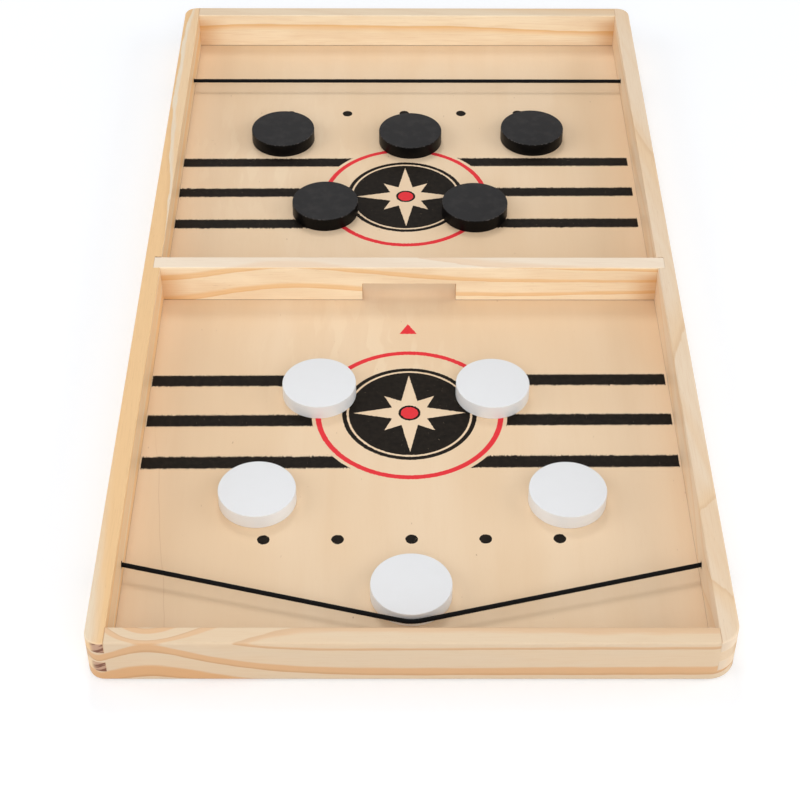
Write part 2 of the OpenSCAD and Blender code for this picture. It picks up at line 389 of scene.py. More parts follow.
def pine(name, along, edge, heart, ring, first, late_from, tones, steep=0.0, swells=(), narrows=NARROWING,
         deepens=0.0, drift=0.0, taper=0.0, clouds=0.3, lines=0.5, threads=0.5, edge_highlight=0.0, corner_shade=0.0,
         end=END_GRAIN, top=(DULL_TOP_LIGHT, 0.0), seed=0.0):
    """Sawn pine. Its rings lie round a heart that is given from an edge of the piece, both as (across, up).

    late_from is the share of a year at which the late wood of a hard ring begins, and steep is 1 where
    that of a soft ring rises as quickly. Swells are (place along, reach, height) of the bulges that bend the
    rings into arches; they narrow downwards and deepen across the piece. drift slants the rings, and taper
    widens them along the piece. Further shares are those of the dark lines and threads, of the painted
    highlight along the eased edges and of the painted shade in the corners, and a pair gives the level top
    a painted tone of its own, for the light that falls on it, and its share."""
    finish = Finish(name)
    x, y, z = finish.place()
    facing_x, facing_y, facing_z = finish.facing()
    length, across, square = (x, y, facing_x) if along == "x" else (y, x, facing_y)

    out_across = across - (edge[0] + heart[0])
    out_up = z - (edge[1] + heart[1])
    out = (out_across * out_across + out_up * out_up).root() - math.hypot(*heart)
    for centre, reach, height in swells:
        step = (length - centre) / ((z - RAIL_TOP) * narrows + reach)
        rise = (across - edge[0]) * (height * deepens) + height
        out = out + (step * step * -1).exp() * rise
    waver = finish.noise(
        finish.vector(length / WAVER_LENGTH + seed, across / WAVER_WIDTH, z / WAVER_WIDTH)
    )
    ripple = finish.noise(
        finish.vector(length / RIPPLE_LENGTH, across / RIPPLE_WIDTH + seed, z / RIPPLE_WIDTH)
    )
    out = out + (waver - NOISE_MEAN) * WAVER + (ripple - NOISE_MEAN) * RIPPLE + length * drift
    years = (out - first) / (length * taper + ring)
    year = years.floor()
    season = years - year
    luck = finish.add("ShaderNodeTexWhiteNoise", {"noise_dimensions": "1D"}, {"W": year + seed})
    over = 1 - finish.smooth(season, LATE_ENDS, 1.0)
    begins = (1 - luck * LATE_EARLIER) * late_from
    full_later = (LATE_ENDS - late_from) * (1 - steep) - LATE_EARLIER * late_from * steep
    late = finish.smooth(season, begins, luck * full_later + (late_from + LATE_RISE)) * over
    line = finish.smooth(season, LINE_BEGINS, LATE_ENDS) * over
    hard = 1 - finish.smooth(luck, 0.0, HARD_BELOW)
    thread = finish.smooth(THREAD_W - abs(season - begins), 0.0, THREAD_W) * hard
    strength = luck * SOFT_ADDS + HARD_STRENGTH

    fibre = finish.noise(
        finish.vector(length / FIBRE_LENGTH, across / FIBRE_WIDTH, z / FIBRE_WIDTH + seed), detail=FINER
    )
    fleck = finish.noise(
        finish.vector(length / FLECK_LENGTH, across / FLECK_WIDTH, z / FLECK_WIDTH + seed), detail=PLAIN
    )
    slant = length / CLOUD_LENGTH + across / CLOUD_WIDTH + seed
    cloud = finish.noise(finish.vector(slant, across / CLOUD_LENGTH, z / CLOUD_WIDTH))

    colour = finish.mix(finish.smooth(cloud, *CLOUD_LEVELS) * clouds, tones["early"], CLOUD_TONE)
    colour = finish.mix(late * strength, colour, tones["late"])
    colour = finish.mix(line * strength * lines, colour, tones["line"])
    colour = finish.mix(thread * threads, colour, tones["line"])
    colour = finish.mix(finish.smooth(fibre, *FIBRE_LEVELS) * FIBRE_SHARE, colour, FIBRE_TONE)
    colour = finish.mix(finish.smooth(fleck, *FLECK_LEVELS) * FLECK_SHARE, colour, FLECK_TONE)
    streak_place = finish.vector(
        (z - across * STREAK_RISE) / STREAK_W, (across + z * STREAK_RISE) / STREAK_RUN, seed
    )
    streak = finish.smooth(finish.noise(streak_place), *STREAK_LEVELS)
    colour = finish.mix(finish.smooth(abs(square), *SQUARE), colour, finish.mix(late & streak, *end))
    # Painted light: the level top turned towards a tone of its own, for the light that falls on it from above
    top_light_tone, top_light_share = top
    colour = finish.mix(finish.smooth(facing_z, *SQUARE) * top_light_share, colour, top_light_tone)
    # Painted highlight: a pale tone on the eased edges that lean up towards the light
    leaning = finish.smooth(facing_z, *EDGE_HIGHLIGHT_STARTS) * (1 - finish.smooth(facing_z, *EDGE_HIGHLIGHT_ENDS))
    colour = finish.mix(leaning * edge_highlight, colour, EDGE_HIGHLIGHT_TONE)
    indoors = (abs(x) < INNER_X + GAP_SHADE_W) & (abs(y) < INNER_Y + GAP_SHADE_W)
    # Painted shade: the inner faces darkened towards the corners of the box, below the top, for the shade
    # that gathers there
    if corner_shade:
        near_corner = finish.smooth(abs(length), INNER_X - CORNER_SHADE_REACH, INNER_X)
        corner_shade_mask = near_corner * finish.smooth(RAIL_TOP - z, 0.0, CORNER_SHADE_DEPTH) * indoors
        colour = finish.mix(corner_shade_mask * corner_shade, colour, CORNER_SHADE_TONE)
    # Painted shade: a dark line along the floor on the inner faces, for the shade in the crease where they
    # meet it
    gap_shade = (1 - finish.smooth(abs(z - FLOOR_TOP), 0.0, GAP_SHADE_W)) * indoors
    colour = finish.mix(gap_shade * GAP_SHADE_SHARE, colour, GAP_SHADE_TONE)
    roughness = fibre * LACQUER_FIBRE + late * LACQUER_LATE + LACQUER
    relief = fibre - line * LINE_DEPTH
    return finish.surface(colour, roughness, relief, PINE_BUMP, Specular_IOR_Level=PINE_SPECULAR)


def pine_finishes():
    front_edge = (-HALF_L, RAIL_TOP)
    back_edge = (INNER_Y, RAIL_TOP)
    left_edge = (-INNER_X, RAIL_TOP)
    right_edge = (INNER_X, RAIL_TOP)
    divider_edge = (DIVIDER_FRONT, RAIL_TOP)
    return {
        "front_rail": pine(
            "pine_front_rail", "x", front_edge, heart=(-34.0, 104.0), ring=17.0, first=-12.6, late_from=0.87,
            tones=PALE_PINE, steep=0.85, swells=[(-114, 33, 10.0), (-124, 16, 7.2)], narrows=-0.8,
            deepens=0.125, drift=0.006, lines=0.4, threads=0.0, top=(BRIGHT_TOP_LIGHT, 0.22), seed=4.0,
        ),
        "back_rail": pine(
            "pine_back_rail", "x", back_edge, heart=(-60.0, -110.0), ring=15.0, first=-7.6, late_from=0.86,
            tones=HONEY_PINE, swells=[(-150, 30, 2.4), (32, 48, -1.2)], drift=0.020, lines=0.25,
            corner_shade=0.45, top=(DULL_TOP_LIGHT, 0.5), seed=35.0,
        ),
        "left_rail": pine(
            "pine_left_rail", "y", left_edge, heart=(-40.0, 80.0), ring=10.0, first=1.7, late_from=0.04,
            tones=GOLD_PINE, steep=0.6, swells=[(190, 155, 5.0), (-290, 115, -4.4)], lines=0.15, threads=0.0,
            edge_highlight=0.15, end=DARK_END_GRAIN, seed=18.0,
        ),
        "right_rail": pine(
            "pine_right_rail", "y", right_edge, heart=(-35.0, -94.0), ring=15.0, first=-5.67, late_from=0.82,
            tones=WHITE_PINE, swells=[(26, 110, -16), (-218, 34, 14.8)], clouds=0.6, lines=0.25,
            end=PALE_END_GRAIN, seed=36.0,
        ),
        "divider": pine(
            "pine_divider", "x", divider_edge, heart=(50.0, 109.0), ring=10.5, first=10.0, late_from=0.72,
            tones=HONEY_PINE, swells=[(-80, 46, 5.5), (-40, 62, 5.0)], taper=-0.025, lines=0.3, threads=0.0,
            edge_highlight=0.45, corner_shade=0.5, top=(PALE_TOP_LIGHT, 0.5), seed=41.0,
        ),
    }


# Printed floor

# The print turns half round about its middle for the far player, whose ring lies a little further out
PRINT_X = -0.9
PRINT_Y = -3.0
PRINT_TURN = math.radians(0.36)
STRIPE_FIRST = 71.0
STRIPE_STEP = 31.85
STRIPE_COUNT = 3
STRIPE_W = 7.9
STRIPE_REACH = 139.7
RING_OUT = 97.2
RING_FURTHER = 1.4
RING_R = 50.25
RING_LINE = 2.9
RING_CLEAR = 2.0
ARROW_TIP = 23.35
ARROW_BASE = 31.95
ARROW_HALF = 4.85
DOT_OUT = 189.7
DOT_STEP = 36.85
DOT_COUNT = 5
DOT_R = 3.15
# The emblem: a black roundel with a compass star left bare in it
ROUNDEL_R = 36.0
ROUNDEL_LINE_R = 33.0
ROUNDEL_LINE = 1.2
LONG_POINT = 30.0
LONG_WAIST = 5.2
SHORT_POINT = 19.0
SHORT_WAIST = 5.2
HUB_R = 4.6
HUB_LINE = 1.3
# Ragged edges and pinholes of the ink, and the hairs in which the stripes bleed along the grain
HAIR = 1.0
HAIR_LENGTH = 14.0
HAIR_WIDTH = 0.38
HAIR_LEVELS = (0.35, 0.68)
RAGGED = 0.8
RAGGED_SCALE = 0.9
PINHOLE_SCALE = 1.1
PINHOLE_ROUGHNESS = 0.7
PINHOLE_LEVELS = (0.70, 0.74)
INK_WEAR = 0.022
INK_WEAR_SCALE = 0.35
# Clouds, bands, flames, fibres and specks of the plywood: their lengths along the grain and their widths, the
# noise levels they start and are full at, and their shares
BROAD_LENGTH = 170.0
BROAD_WIDTH = 55.0
BROAD_LEVELS = (0.35, 0.65)
BAND_LENGTH = 130.0
BAND_WIDTH = 9.0
BAND_LEVELS = (0.40, 0.75)
BAND_SHARE = 0.15
FLAME_LENGTH = 36.0
FLAME_WIDTH = 7.5
FLAME_SWAY = 1.6
FLAME_LEVELS = (0.50, 0.58)
FLAME_SHARE = 0.5
PLY_FIBRE_LENGTH = 9.0
PLY_FIBRE_WIDTH = 0.5
PLY_FIBRE_LEVELS = (0.5, 0.8)
PLY_FIBRE_SHARE = 0.12
SPECK_LENGTH = 4.5
SPECK_WIDTH = 1.5
SPECK_LEVELS = (0.81, 0.84)
SPECK_SHARE = 0.5
# Places of the flames: across, along and reach
FLAMES = ((-22.0, -52.0, 46.0), (-85.0, 130.0, 60.0))
# The one vein of the plywood: a place on it and its slant, where it ends, how far it wanders, how wide it is
VEIN_X = -121.5
VEIN_Y = -216.0
VEIN_SLANT = -0.13
VEIN_FADES = -150.0
VEIN_ENDS = -100.0
VEIN_WANDER = 6.0
VEIN_LENGTH = 60.0
VEIN_W = 0.35
VEIN_SHARE = 0.3
# How level a face is that counts as the upper one
UPPER = 0.5
# Satin lacquer: its roughness, what the fibres and the ink add, its relief and its shine
SATIN = 0.42
SATIN_FIBRE = 0.10
SATIN_INK = 0.12
PLY_BUMP = 0.05
PLY_SPECULAR = 0.06

BLACK_INK = shade(10, 7, 6)
RED_INK = shade(230, 52, 61)
PLY = shade(235, 206, 171)
PLY_STREAK = shade(228, 194, 155)
PLY_PALE = shade(239, 213, 181)
PLY_FLAME = shade(245, 222, 190)
PLY_LINE = shade(198, 154, 112)
PLY_SPECK = shade(150, 104, 74)


def star(u, v, point, waist):
    """1 inside a four-pointed star on the axes of u and v."""
    far = abs(u) | abs(v)
    near = abs(u) & abs(v)
    return far + near * ((point - waist) / waist) < point


def field_print(finish, x, y):
    """Masks of the black and of the red ink."""
    ink_place = finish.vector(x, y, 0.0)
    ragged = finish.noise(ink_place, RAGGED_SCALE) - NOISE_MEAN
    hairs = finish.smooth(finish.noise(finish.vector(x / HAIR_WIDTH, y / HAIR_LENGTH, 0.0)), *HAIR_LEVELS)
    from_x = x - PRINT_X
    from_y = y - PRINT_Y
    along = from_y * math.cos(PRINT_TURN) - from_x * math.sin(PRINT_TURN) + ragged * RAGGED
    sideways = from_x * math.cos(PRINT_TURN) + from_y * math.sin(PRINT_TURN) + ragged * RAGGED
    out = abs(along)
    across = sideways * along.sign() * -1

    ring_y = out - RING_OUT - (along > 0.0) * RING_FURTHER
    ring_distance = (across * across + ring_y * ring_y).root()

    half_step = STRIPE_STEP / 2
    stripe_start = STRIPE_FIRST - half_step
    stripe_y = abs((out - stripe_start) % STRIPE_STEP - half_step) - hairs * HAIR
    stripe_rows = (out > stripe_start) & (out < stripe_start + STRIPE_COUNT * STRIPE_STEP)
    stripes = (stripe_y < STRIPE_W / 2) & stripe_rows & (abs(across) < STRIPE_REACH)
    stripes = stripes & (ring_distance > RING_R + RING_CLEAR)

    half_dot = DOT_STEP / 2
    dot_x = (across + half_dot) % DOT_STEP - half_dot
    dot_y = out - DOT_OUT
    dots = ((dot_x * dot_x + dot_y * dot_y).root() < DOT_R) & (abs(across) < DOT_COUNT * half_dot)

    diagonal = math.sqrt(0.5)
    turned_u = (across + ring_y) * diagonal
    turned_v = (across - ring_y) * diagonal
    bare = star(across, ring_y, LONG_POINT, LONG_WAIST) | star(turned_u, turned_v, SHORT_POINT, SHORT_WAIST)
    bare = bare | (abs(ring_distance - ROUNDEL_LINE_R) < ROUNDEL_LINE / 2)
    hub = ring_distance < HUB_R
    hub_gap = abs(ring_distance - HUB_R - HUB_LINE / 2) < HUB_LINE / 2
    roundel = (ring_distance < ROUNDEL_R) & (1 - (bare | hub)) | hub_gap

    ring = abs(ring_distance - RING_R + RING_LINE / 2) < RING_LINE / 2
    arrow_width = (out - ARROW_TIP) * (ARROW_HALF / (ARROW_BASE - ARROW_TIP))
    arrow = (abs(across) < arrow_width) & (out < ARROW_BASE)

    speckle = finish.noise(ink_place, PINHOLE_SCALE, FINE, PINHOLE_ROUGHNESS)
    inked = 1 - finish.smooth(speckle, *PINHOLE_LEVELS)
    return (stripes | dots | roundel) * inked, (ring | arrow | hub) * inked


def printed_plywood():
    finish = Finish("printed_plywood")
    x, y, z = finish.place()
    _, _, facing_z = finish.facing()
    broad = finish.noise(finish.vector(x / BROAD_WIDTH, y / BROAD_LENGTH, z))
    band = finish.noise(finish.vector(x / BAND_WIDTH, y / BAND_LENGTH, z), detail=FINE)
    sway = finish.noise(finish.vector(y / FLAME_LENGTH, x / BROAD_WIDTH, z)) * FLAME_SWAY
    flame = finish.noise(finish.vector(x / FLAME_WIDTH + sway, y / FLAME_LENGTH, z))
    flames = 0.0
    for flame_x, flame_y, reach in FLAMES:
        step_x = (x - flame_x) / reach
        step_y = (y - flame_y) / reach
        flames = ((step_x * step_x + step_y * step_y) * -1).exp() + flames
    fibre = finish.noise(finish.vector(x / PLY_FIBRE_WIDTH, y / PLY_FIBRE_LENGTH, z), detail=FINE)
    speck = finish.noise(finish.vector(x / SPECK_WIDTH, y / SPECK_LENGTH, z), detail=PLAIN)
    wander = finish.noise(finish.vector(y / VEIN_LENGTH, 0.0, 0.0), detail=FINE) - NOISE_MEAN
    away = abs(x - VEIN_X - (y - VEIN_Y) * VEIN_SLANT - wander * VEIN_WANDER)
    vein = finish.smooth(VEIN_W - away, 0.0, VEIN_W) * (1 - finish.smooth(y, VEIN_FADES, VEIN_ENDS))

    upper = facing_z > UPPER
    wood = finish.mix(finish.smooth(broad, *BROAD_LEVELS), PLY_PALE, PLY)
    wood = finish.mix(finish.smooth(band, *BAND_LEVELS) * BAND_SHARE, wood, PLY_STREAK)
    wood = finish.mix(finish.smooth(flame, *FLAME_LEVELS) * flames * upper * FLAME_SHARE, wood, PLY_FLAME)
    wood = finish.mix(vein * VEIN_SHARE, wood, PLY_LINE)
    wood = finish.mix(finish.smooth(fibre, *PLY_FIBRE_LEVELS) * PLY_FIBRE_SHARE, wood, PLY_STREAK)
    wood = finish.mix(finish.smooth(speck, *SPECK_LEVELS) * SPECK_SHARE, wood, PLY_SPECK)

    black, red = field_print(finish, x, y)
    ink_wear = finish.noise(finish.vector(x, y, z), INK_WEAR_SCALE, FINE) * INK_WEAR
    colour = finish.mix(red * upper * (1 - ink_wear), wood, RED_INK)
    colour = finish.mix(black * upper * (1 - ink_wear), colour, BLACK_INK)
    roughness = fibre * SATIN_FIBRE + black * SATIN_INK + SATIN
    return finish.surface(colour, roughness, fibre, PLY_BUMP, Specular_IOR_Level=PLY_SPECULAR)


# Paint, cord and steel

# The sides' tones are painted shade: darker on black, a little cooler on white, for the light the sides of a
# puck get
WHITE_COAT = shade(229, 230, 232)
WHITE_SIDE_SHADE = shade(229, 231, 233)
WHITE_SCUFF = shade(214, 211, 207)
BLACK_COAT = shade(31, 30, 31)
BLACK_SIDE_SHADE = shade(9, 8, 8)
# The black scuff is partly painted glint: pale flecks on the rims where light catches them, and partly
# chipped paint
BLACK_SCUFF_AND_GLINT = shade(92, 88, 86)
CORD_BLACK = shade(7, 7, 7)
CORD_SHEEN = shade(24, 23, 24)
STEEL = shade(172, 172, 168)
STEEL_DULL = shade(120, 118, 114)
RIM_ATTRIBUTE = "rim"
# How level a painted face is where the rubbed flat starts
FLAT_STARTS = 0.8
# Rubbed clouds, orange peel and chips of the paint, the pale chips on black being partly painted glints:
# scales of their noise, and levels of the clouds and chips
RUB_SCALE = 0.16
RUB_LEVELS = (0.40, 0.75)
PEEL_SCALE = 1.6
CHIP_SCALE = 0.9
CHIP_ROUGHNESS = 0.65
CHIP_LEVELS = (0.50, 0.60)
# Satin paint: its roughness, what the peel and the rubbing add, and its relief
PAINT = 0.34
PAINT_PEEL = 0.12
PAINT_RUB = 0.10
PAINT_BUMP = 0.06
# Yarn of the cord's cover: its scale, the levels of its sheen, its roughness, relief and shine
YARN_SCALE = 5.0
YARN_ROUGHNESS = 0.7
YARN_LEVELS = (0.35, 0.75)
YARN_MATT = 0.6
YARN_MATT_VARIES = 0.25
YARN_BUMP = 0.15
YARN_SPECULAR = 0.12
# Drawn wire: its scratches across and along the pins, the levels of its dull parts, its roughness and relief
SCRATCH_WIDTH = 0.25
SCRATCH_LENGTH = 1.25
SCRATCH_LEVELS = (0.35, 0.75)
WIRE_ROUGHNESS = 0.25
WIRE_ROUGHNESS_VARIES = 0.3
WIRE_BUMP = 0.05


def paint(name, coat, side, scuff_and_glint, rubbed, chips_and_glints, specular):
    """Brushed paint over turned wood, a little rubbed on the flat and chipped along the rims; its sides have
    a painted shade of their own, and on black paint the pale chips are partly painted glints.
    """
    finish = Finish(name)
    x, y, z = finish.place()
    spot = finish.vector(x, y, z)
    rim = finish.add("ShaderNodeAttribute", {"attribute_name": RIM_ATTRIBUTE}, {}, "Fac")
    rub = finish.noise(spot, RUB_SCALE, FINE)
    peel = finish.noise(spot, PEEL_SCALE, FINE)
    chips = finish.noise(spot, CHIP_SCALE, FINER, CHIP_ROUGHNESS)
    _, _, facing_z = finish.facing()
    flat = finish.smooth(facing_z, FLAT_STARTS, 1.0)
    # Painted shade: the sides take a tone of their own, apart from the top
    colour = finish.mix(flat, side, coat)
    colour = finish.mix(finish.smooth(rub, *RUB_LEVELS) * flat * rubbed, colour, scuff_and_glint)
    # Chips along the rim; on black paint their pale tone is partly a painted glint
    colour = finish.mix(finish.smooth(chips * rim, *CHIP_LEVELS) * chips_and_glints, colour, scuff_and_glint)
    roughness = peel * PAINT_PEEL + flat * rub * PAINT_RUB + PAINT
    return finish.surface(colour, roughness, peel, PAINT_BUMP, Specular_IOR_Level=specular)


def braided_elastic():
    finish = Finish("braided_elastic")
    x, y, z = finish.place()
    yarn = finish.noise(finish.vector(x, y, z), YARN_SCALE, FINE, YARN_ROUGHNESS)
    colour = finish.mix(finish.smooth(yarn, *YARN_LEVELS), CORD_BLACK, CORD_SHEEN)
    roughness = yarn * YARN_MATT_VARIES + YARN_MATT
    return finish.surface(colour, roughness, yarn, YARN_BUMP, Specular_IOR_Level=YARN_SPECULAR)


def wire_steel():
    finish = Finish("wire_steel")
    x, y, z = finish.place()
    place = finish.vector(x / SCRATCH_WIDTH, y / SCRATCH_WIDTH, z / SCRATCH_LENGTH)
    scratch = finish.noise(place, detail=FINER)
    colour = finish.mix(finish.smooth(scratch, *SCRATCH_LEVELS), STEEL, STEEL_DULL)
    roughness = scratch * WIRE_ROUGHNESS_VARIES + WIRE_ROUGHNESS
    return finish.surface(colour, roughness, scratch, WIRE_BUMP, Metallic=1.0)


# Rails and divider with eased edges

EASE_WIDEST = 2.0
EASE_TOP_OUTER = 1.1
EASE_TOP_INNER = 0.7
EASE_DIVIDER_TOP = 0.8
EASE_GATE = 0.35
EASE_JOINT = 0.20
EASE_STEPS = 3
CLOSE = 0.12
SHARP = math.radians(30)
FLAT = math.radians(0.5)
# Corners of the CAD mesh that lie this close are one
SAME_SPOT = 0.001
CORNER_R = 8.0
ROUND_CORNER_R = 13.0


def on_outline(spot):
    """True on the outer face of the box, its rounded corners among them."""
    corner_r = ROUND_CORNER_R if spot.x > 0 > spot.y else CORNER_R
    beyond_x = abs(spot.x) - (HALF_W - corner_r)
    beyond_y = abs(spot.y) - (HALF_L - corner_r)
    if beyond_x > 0 and beyond_y > 0:
        return abs(math.hypot(beyond_x, beyond_y) - corner_r) < CLOSE
    return HALF_W - abs(spot.x) < CLOSE or HALF_L - abs(spot.y) < CLOSE


def in_finger_joint(spot):
    return abs(spot.x) > INNER_X - CLOSE and abs(spot.y) > INNER_Y - CLOSE


def rail_ease(spot, level):
    """Radius of a rail's edge, from the edge's middle and whether the edge is level."""
    if on_outline(spot) and level and spot.z < CLOSE:
        return EASE_WIDEST
    if on_outline(spot) and level and spot.z > RAIL_TOP - CLOSE:
        return EASE_TOP_OUTER
    if in_finger_joint(spot):
        return EASE_JOINT
    inner = abs(abs(spot.x) - INNER_X) < CLOSE or abs(abs(spot.y) - INNER_Y) < CLOSE
    if inner and spot.z > RAIL_TOP - CLOSE:
        return EASE_TOP_INNER
    if inner and abs(spot.z - FLOOR_TOP) < CLOSE:
        return EASE_JOINT
    return 0.0


def divider_ease(spot, level):
    if abs(spot.x) > INNER_X:
        return 0.0
    if spot.z > RAIL_TOP - CLOSE:
        return EASE_DIVIDER_TOP
    return EASE_GATE


def eased(node, ease, material):
    """A copy of a wooden CAD piece with its edges eased, which stands for the node."""
    solid = bmesh.new()
    solid.from_mesh(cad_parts[node].data)
    bmesh.ops.remove_doubles(solid, verts=solid.verts, dist=SAME_SPOT * MM)
    bmesh.ops.dissolve_limit(solid, angle_limit=FLAT, verts=solid.verts, edges=solid.edges)
    for face in solid.faces:
        face.smooth = True
    weights = solid.edges.layers.float.new("bevel_weight_edge")
    for edge in solid.edges:
        start, end = (vertex.co / MM for vertex in edge.verts)
        sharp = edge.calc_face_angle(0.0) > SHARP
        width = ease((start + end) / 2, abs(start.z - end.z) < CLOSE) if sharp else 0.0
        edge[weights] = width / EASE_WIDEST
        edge.smooth = width > 0 or not sharp
    mesh = bpy.data.meshes.new(f"{node}_eased")
    solid.to_mesh(mesh)
    solid.free()
    mesh.attributes.remove(mesh.attributes["custom_normal"])
    mesh.materials.clear()
    mesh.materials.append(material)
    piece = new_piece(f"{node}_eased", mesh)
    bevel = piece.modifiers.new("ease", "BEVEL")
    bevel.width = EASE_WIDEST * MM
    bevel.segments = EASE_STEPS
    bevel.limit_method = "WEIGHT"
    bevel.use_clamp_overlap = False
    bevel.harden_normals = True
    keep_result(piece)
    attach(piece, "board")
    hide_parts(node)
    return piece


def woodwork():
    for node, material in pine_finishes().items():
        eased(node, divider_ease if node == "divider" else rail_ease, material)


def coat_cad_node(node, material):
    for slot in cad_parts[node].material_slots:
        slot.material = material


# Pucks

PUCK_RIM = 0.4
PUCK_SEGMENTS = 128
RIM_STEPS = 6
# Radius of the ring that a puck's profile is swept along, inside the puck
SWEEP_R = 10.0
# Corners of that profile, counted from 0 at the middle of the underside: how many there are, between which
# counts they lie at the side, and after which count they lie on top
PROFILE_CORNERS = 4
SIDE_CORNERS = (0.5, 2.5)
TOP_CORNERS = 1.5
# Points of the swept disc that lie this close are one
SWEPT_SPOT = 0.01
# Distances inwards from a rim's rounding, multiplied, above which a point counts as the rim
RIM_LEAST = 0.01
# How deep the paint's hollows are, and the scale of their noise
UNEVEN = 0.06
UNEVEN_SCALE = 90.0


def puck_lathe():
    """A disc turned from a profile with rounded rims, a little uneven as painted wood is."""
    work = Workshop("turned_puck", {
        "Radius": "NodeSocketFloat", "Thickness": "NodeSocketFloat", "Rim": "NodeSocketFloat",
        "Segments": "NodeSocketInt", "Uneven": "NodeSocketFloat", "Seed": "NodeSocketFloat",
        "Place": "NodeSocketVector",
    })
    given = work.given
    index = work.add("GeometryNodeInputIndex")
    at_side = (index > SIDE_CORNERS[0]) & (index < SIDE_CORNERS[1])
    profile_x = at_side * given["Radius"] - SWEEP_R * MM
    profile_y = (index > TOP_CORNERS) * given["Thickness"] - given["Thickness"]
    line = work.add("GeometryNodeMeshLine", {}, {"Count": PROFILE_CORNERS})
    spots = {"Geometry": line, "Position": work.vector(profile_x, profile_y, 0.0)}
    corners = work.add("GeometryNodeSetPosition", {}, spots)
    profile = work.add("GeometryNodeMeshToCurve", {}, {"Mesh": corners})
    fillet = {"Curve": profile, "Count": RIM_STEPS, "Radius": given["Rim"]}
    profile = work.add("GeometryNodeFilletCurve", {"mode": "POLY"}, fillet)
    sweep = work.add(
        "GeometryNodeCurvePrimitiveCircle", {"mode": "RADIUS"},
        {"Resolution": given["Segments"], "Radius": SWEEP_R * MM},
    )
    sweep = work.add("GeometryNodeSetCurveNormal", {"mode": "Z_UP"}, {"Curve": sweep})
    disc = work.add("GeometryNodeCurveToMesh", {}, {"Curve": sweep, "Profile Curve": profile})
    disc = work.add("GeometryNodeMergeByDistance", {}, {"Geometry": disc, "Distance": SWEPT_SPOT * MM})

    spot = work.add("GeometryNodeInputPosition")
    split = work.add("ShaderNodeSeparateXYZ", {}, {"Vector": spot})
    spot_x, spot_y, spot_z = split, split.other("Y"), split.other("Z")
    from_axis = (spot_x * spot_x + spot_y * spot_y).root()
    in_rim = from_axis - (given["Radius"] - given["Rim"])
    above = spot_z - (given["Thickness"] - given["Rim"])
    rim = (in_rim * above > RIM_LEAST * MM * MM) & (in_rim > 0)
    sockets = {"Geometry": disc, "Name": RIM_ATTRIBUTE, "Value": rim}
    disc = work.add("GeometryNodeStoreNamedAttribute", {"data_type": "FLOAT"}, sockets)

    noise = {"Vector": spot, "W": given["Seed"], "Scale": UNEVEN_SCALE, "Detail": FINE}
    hollow = 1 - work.add("ShaderNodeTexNoise", {"noise_dimensions": "4D"}, noise)
    facing = work.add("GeometryNodeInputNormal")
    off_floor = spot_z > given["Rim"]
    push = work.scaled(facing, hollow * given["Uneven"] * off_floor * -1)
    disc = work.add("GeometryNodeSetPosition", {}, {"Geometry": disc, "Offset": push})
    disc = work.add("GeometryNodeTransform", {}, {"Geometry": disc, "Translation": given["Place"]})
    work.deliver(disc)
    return work


def pucks():
    lathe = puck_lathe()
    coats = {
        "white": paint(
            "white_paint", WHITE_COAT, WHITE_SIDE_SHADE, WHITE_SCUFF, rubbed=0.03, chips_and_glints=0.4, specular=0.3,
        ),
        "black": paint(
            "black_paint", BLACK_COAT, BLACK_SIDE_SHADE, BLACK_SCUFF_AND_GLINT, rubbed=0.10, chips_and_glints=0.8, specular=0.1,
        ),
    }
    for seed, node in enumerate(PUCKS):
        colour = node.split("_")[0]
        bottom, top = low(node), high(node)
        centre = middle(node)
        puck = lathe.make(
            f"{node}_turned", bpy.data.meshes.new(node), coats[colour],
            Radius=(top.x - bottom.x) / 2 * MM, Thickness=(top.z - bottom.z) * MM, Rim=PUCK_RIM * MM,
            Segments=PUCK_SEGMENTS, Uneven=UNEVEN * MM, Seed=float(seed),
            Place=(centre.x * MM, centre.y * MM, bottom.z * MM),
        )
        puck.data.shade_smooth()
        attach(puck, node)
        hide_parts(node)


# Cords and knots

CORD_D = 2.5
CARRIERS = 6
STRAND_R = 0.30
WEAVE = 0.11
LAY = 8.0
CORD_STEP = 0.22
CORE_R = 0.80
CORE_SIDES = 12
STRAND_SIDES = 5
DRAWN_CORD_Z = 7.9
CORD_GAP = 0.3
BEND_STEPS = 24
# How far past the rail and past the middle the span worked out for a half reaches, as a share of that half
SHARE_PAST = 0.1
KNOT_R = 2.75
KNOT_RISE = 1.2
KNOT_END = 2.3
KNOT_POINTS = 90
KNOT_EASE = 0.7


